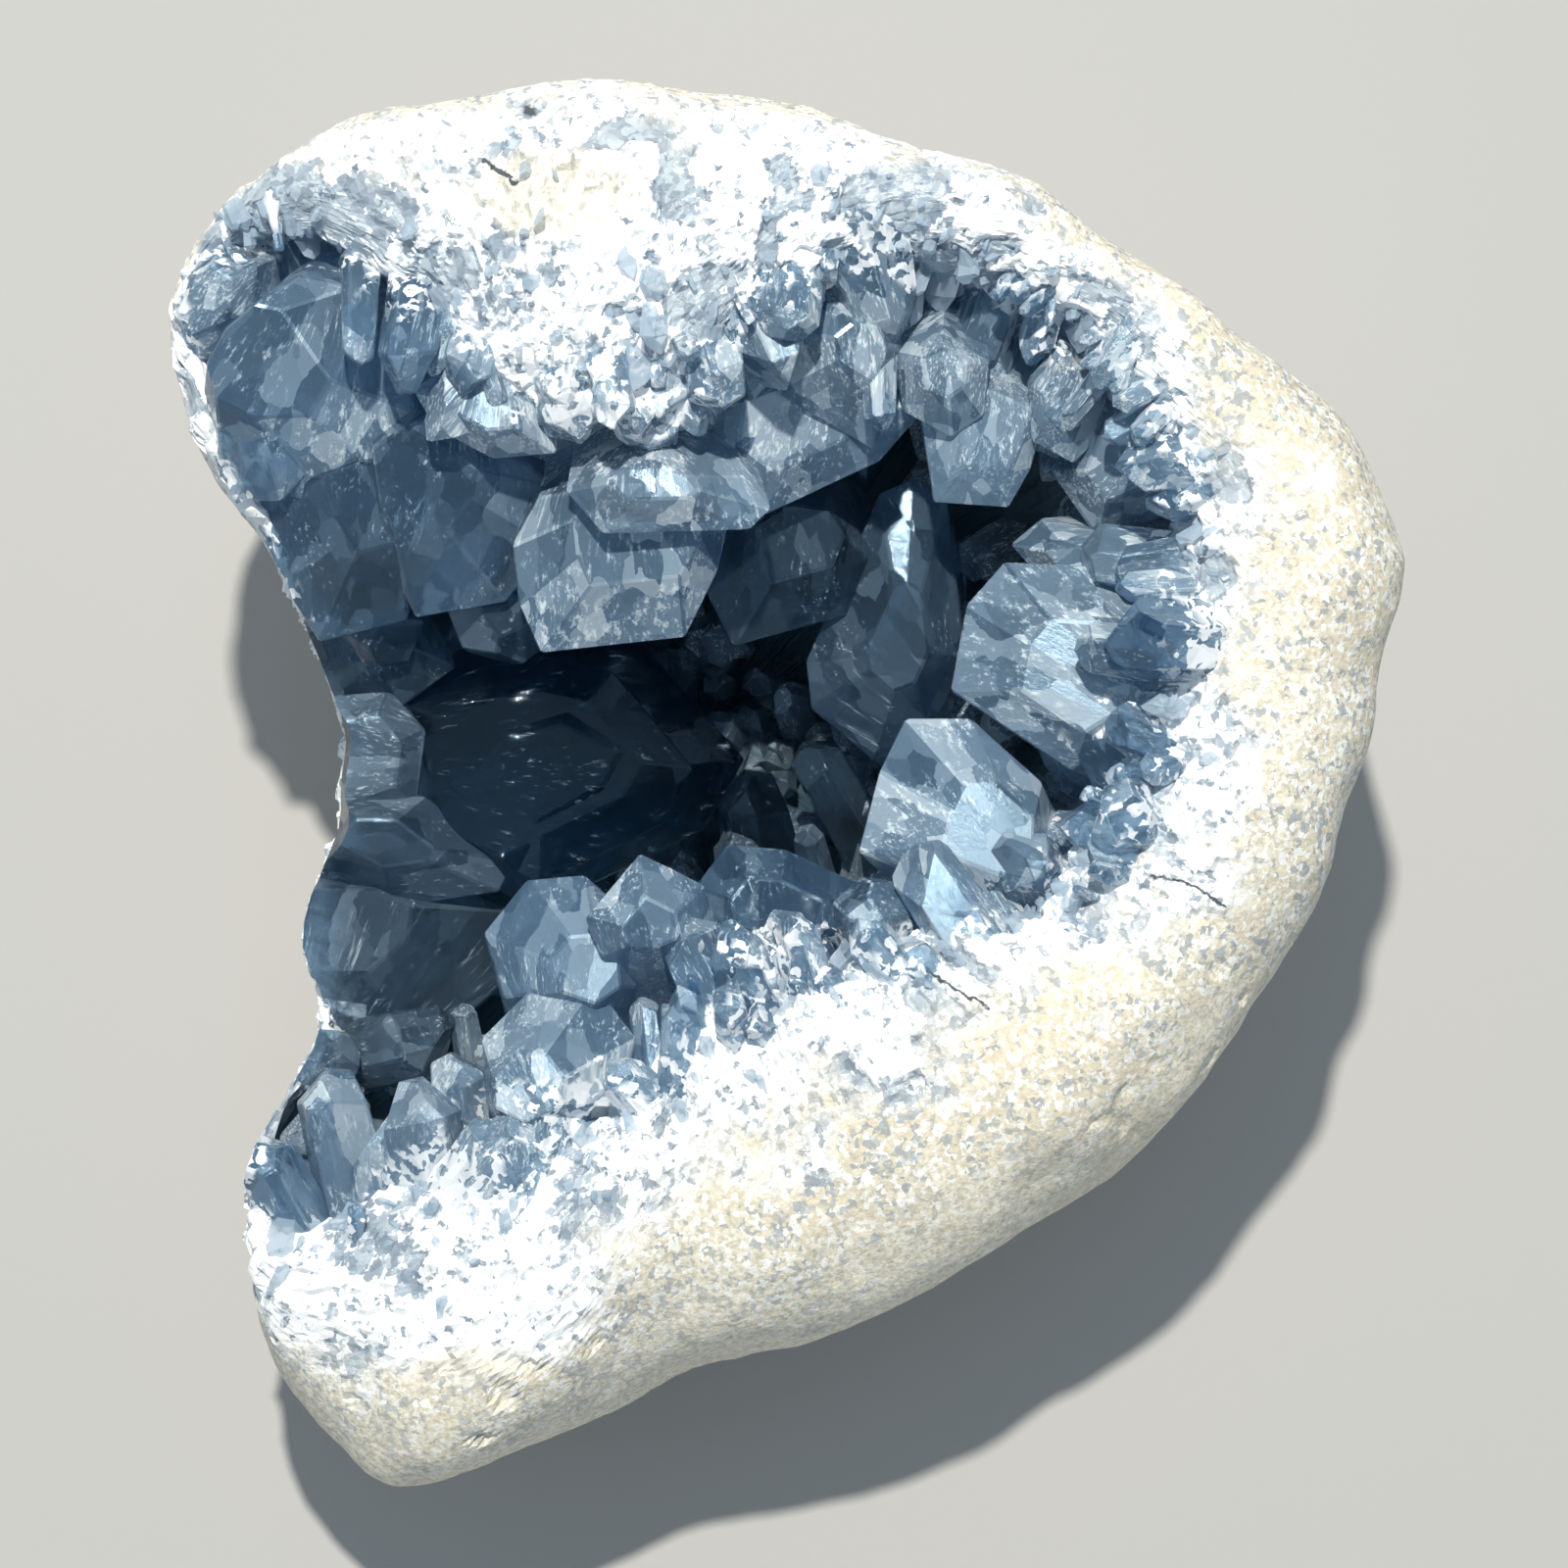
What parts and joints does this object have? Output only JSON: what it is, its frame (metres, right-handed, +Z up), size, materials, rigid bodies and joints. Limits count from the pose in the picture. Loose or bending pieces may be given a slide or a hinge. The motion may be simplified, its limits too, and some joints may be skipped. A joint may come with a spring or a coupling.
{
  "type": "celestite geode",
  "caption": "Rounded cream stone nodule broken open at its face and down one side, its hollow lined with a crust of clear blue celestine crystals; lies on a small flat spot.",
  "frame": {"origin": "middle of the small flat spot that the nodule rests on", "axes": "+Z up; the mouth of the hollow leans 20 degrees from straight up towards -Y; +X is the closed right-hand end, and the broken side faces -X"},
  "size_m": [0.1337, 0.1601, 0.0904],
  "materials": {
    "stone": "fine-grained cream stone, rubbed smooth outside, crushed white celestine round the mouth",
    "celestine": "clear grey-blue celestine crystals with flat bright faces, cloudy at their roots"
  },
  "bodies": {
    "root": {"stone_shell": "stone", "crystal_crust": "celestine"}
  },
  "joints": []
}
